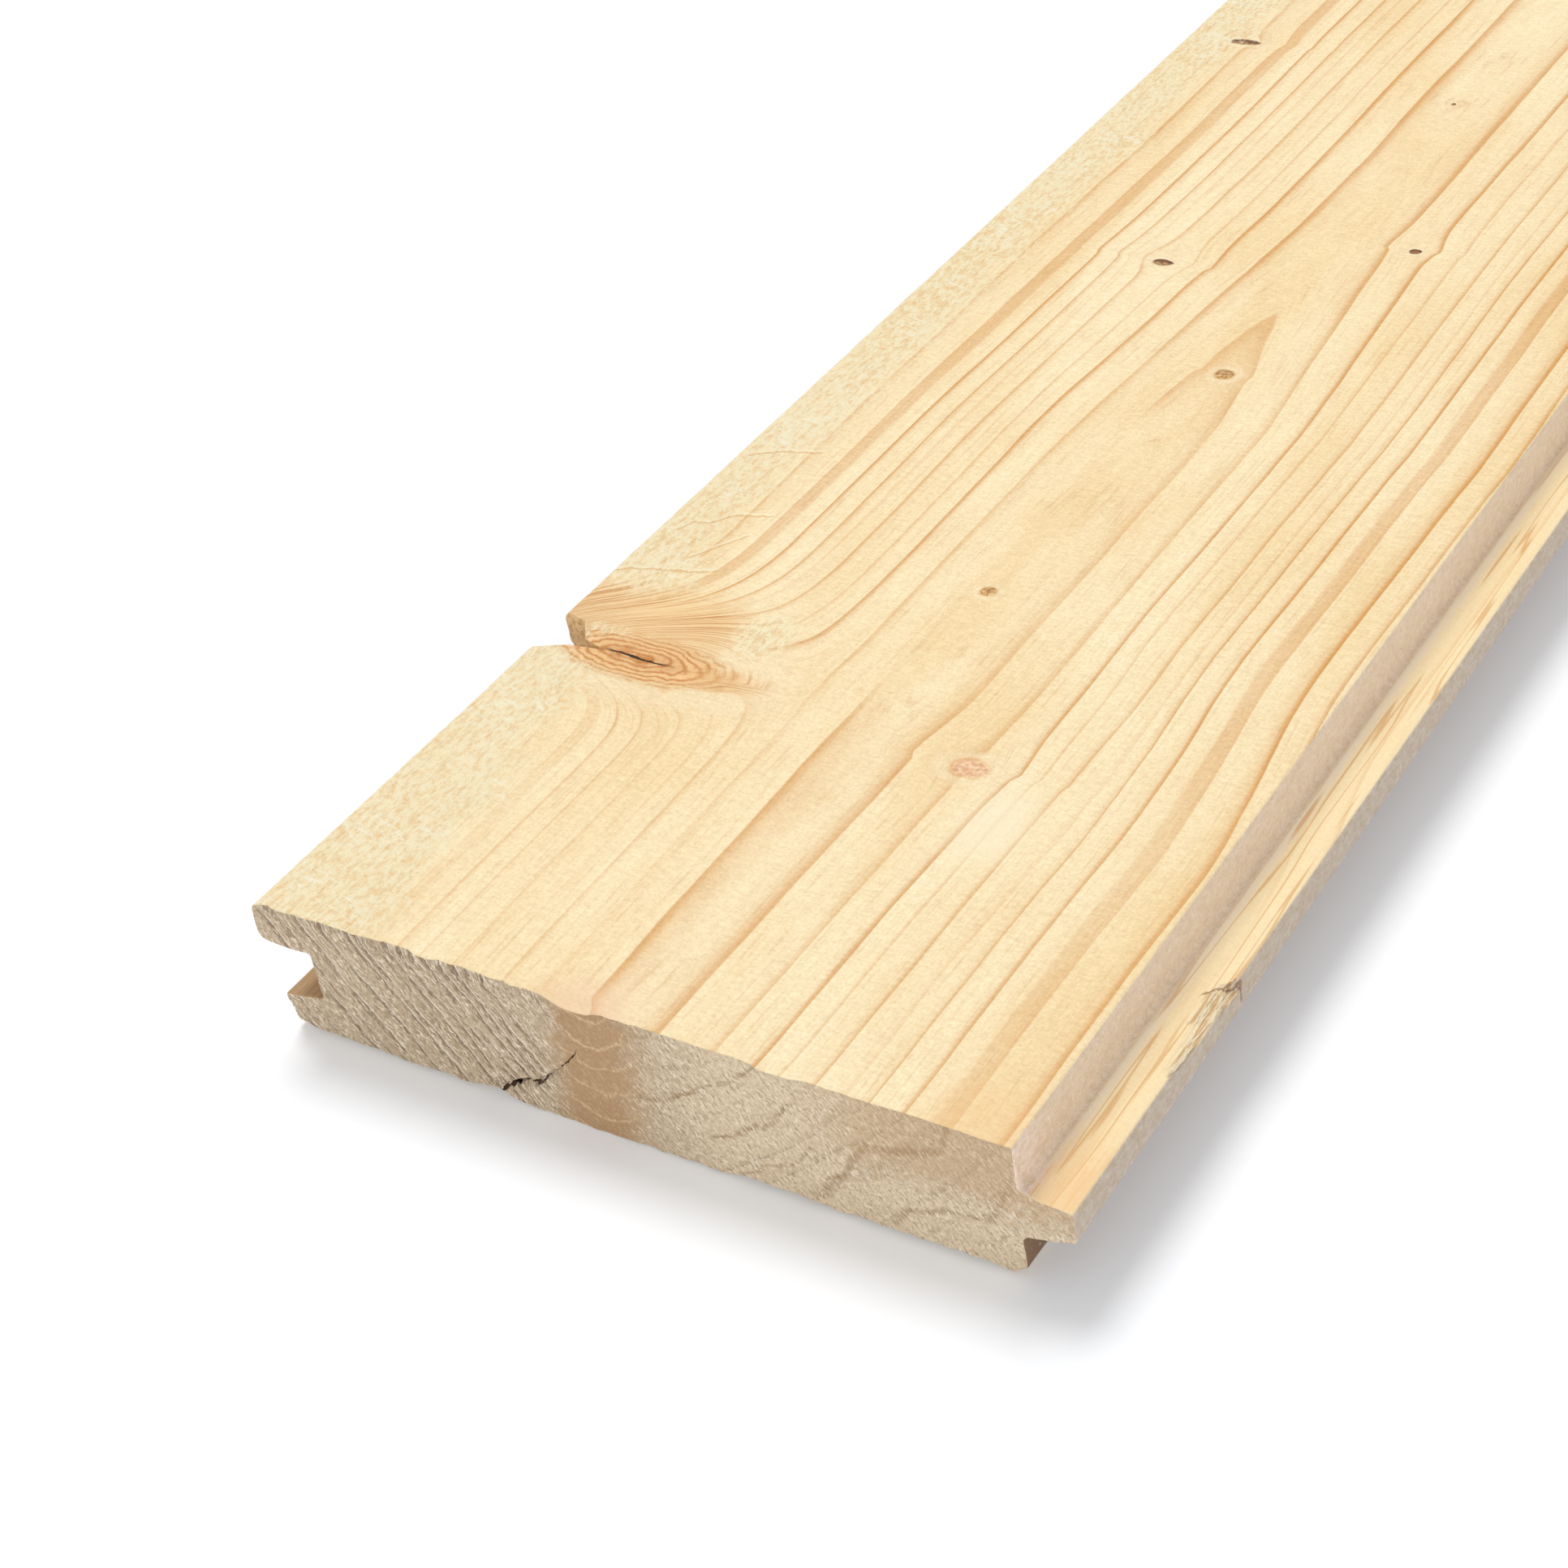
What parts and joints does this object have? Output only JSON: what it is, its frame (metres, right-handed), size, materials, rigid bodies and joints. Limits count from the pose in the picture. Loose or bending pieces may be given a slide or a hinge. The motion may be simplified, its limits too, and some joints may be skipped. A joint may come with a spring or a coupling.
{
  "type": "tongue and groove board",
  "caption": "Rough-sawn softwood board with a tapered tongue along one edge and a groove along the other, planed on its show face.",
  "frame": {"origin": "middle of the bounding box's underside, on the sawn back face", "axes": "+X across the board, from the groove to the tongue; +Y along the board, from the front end to the far end; +Z out of the planed show face"},
  "size_m": [0.121, 2, 0.021],
  "materials": {
    "spruce": "planed show face, sawn back and ends, untreated"
  },
  "bodies": {
    "root": {"board": "spruce"}
  },
  "joints": []
}
